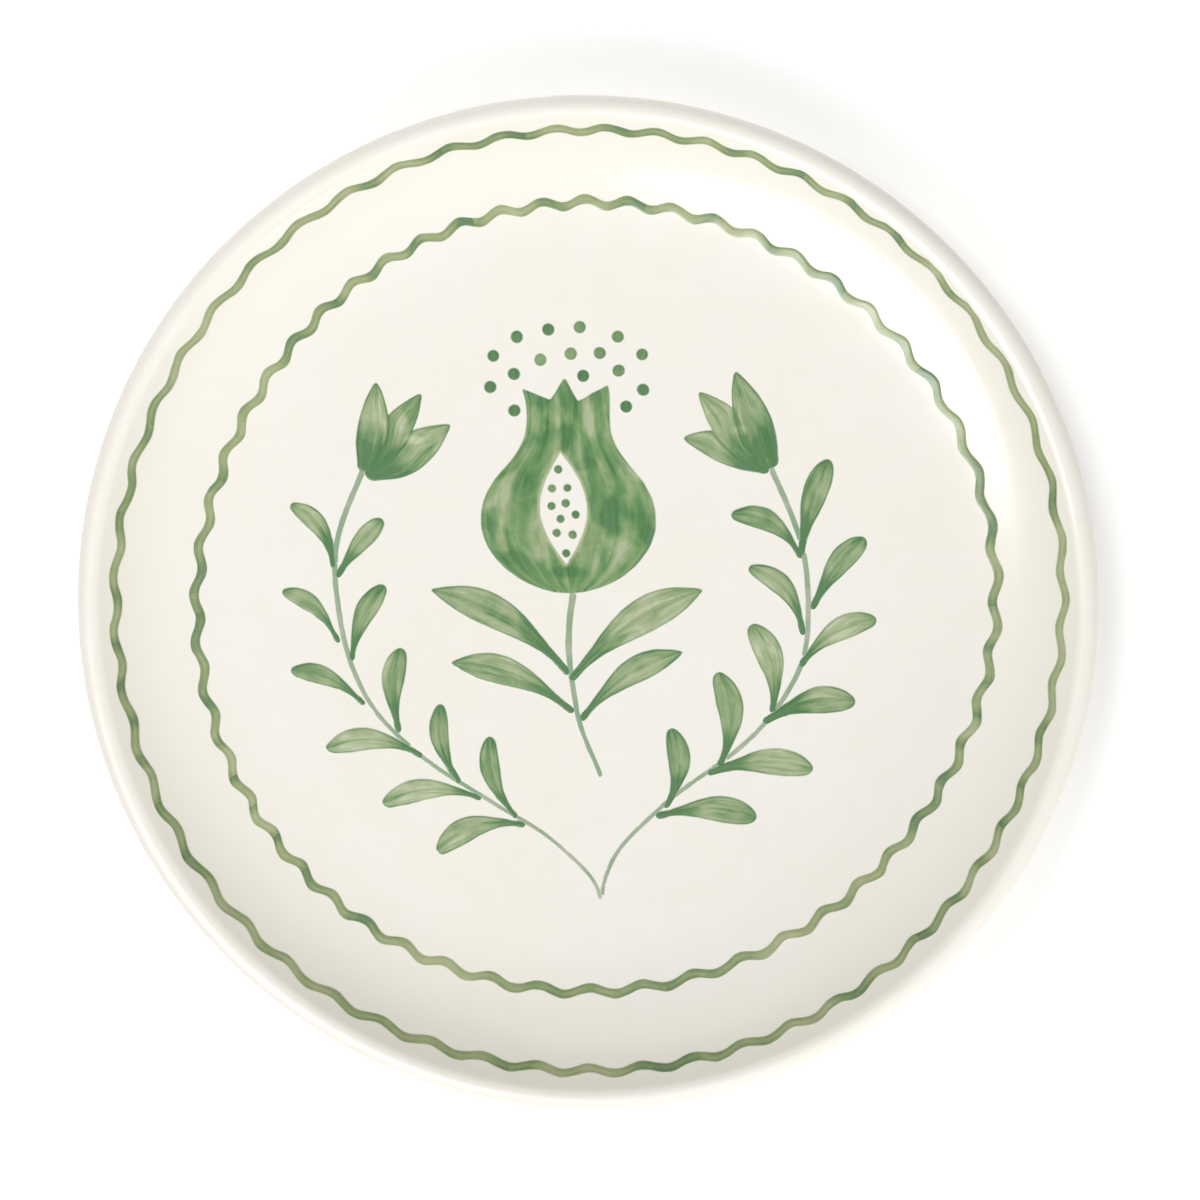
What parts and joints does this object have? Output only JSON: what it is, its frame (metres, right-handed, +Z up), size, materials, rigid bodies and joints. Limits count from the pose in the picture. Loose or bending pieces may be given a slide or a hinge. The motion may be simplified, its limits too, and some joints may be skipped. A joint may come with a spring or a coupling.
{
  "type": "plate",
  "caption": "Round coupe plate on a foot ring, hand-painted in green with a pomegranate, leafy tulip branches and wavy border lines.",
  "frame": {"origin": "middle of the circle the foot ring stands on", "axes": "+Z up out of the plate along its axis of turning, +Y towards the top of the painted design, +X to its right"},
  "size_m": [0.27, 0.27, 0.0237],
  "materials": {
    "bare_clay": "unglazed fired clay, slightly rough",
    "ivory_glaze": "warm ivory gloss glaze",
    "line_paint": "thin olive green brush paint under gloss",
    "fruit_paint": "streaky leaf green brush paint under gloss",
    "dot_paint": "dabs of dark green paint under gloss",
    "stem_paint": "pale grey-olive brush paint under gloss",
    "leaf_paint": "streaky green brush paint under gloss, darker at the base",
    "tulip_paint": "streaky green brush paint under gloss, darkest at the base"
  },
  "bodies": {
    "root": {"clay_body": "bare_clay", "glaze_coat": "ivory_glaze", "foot_well_glaze": "ivory_glaze", "outer_wavy_line": "line_paint", "inner_wavy_line": "line_paint", "pomegranate_fruit": "fruit_paint", "pomegranate_seeds": "dot_paint", "crown_dots": "dot_paint", "pomegranate_stalk": "stem_paint", "stalk_leaves": "leaf_paint", "left_branch_stem": "stem_paint", "left_branch_leaves": "leaf_paint", "left_tulip": "tulip_paint", "right_branch_stem": "stem_paint", "right_branch_leaves": "leaf_paint", "right_tulip": "tulip_paint"}
  },
  "joints": []
}
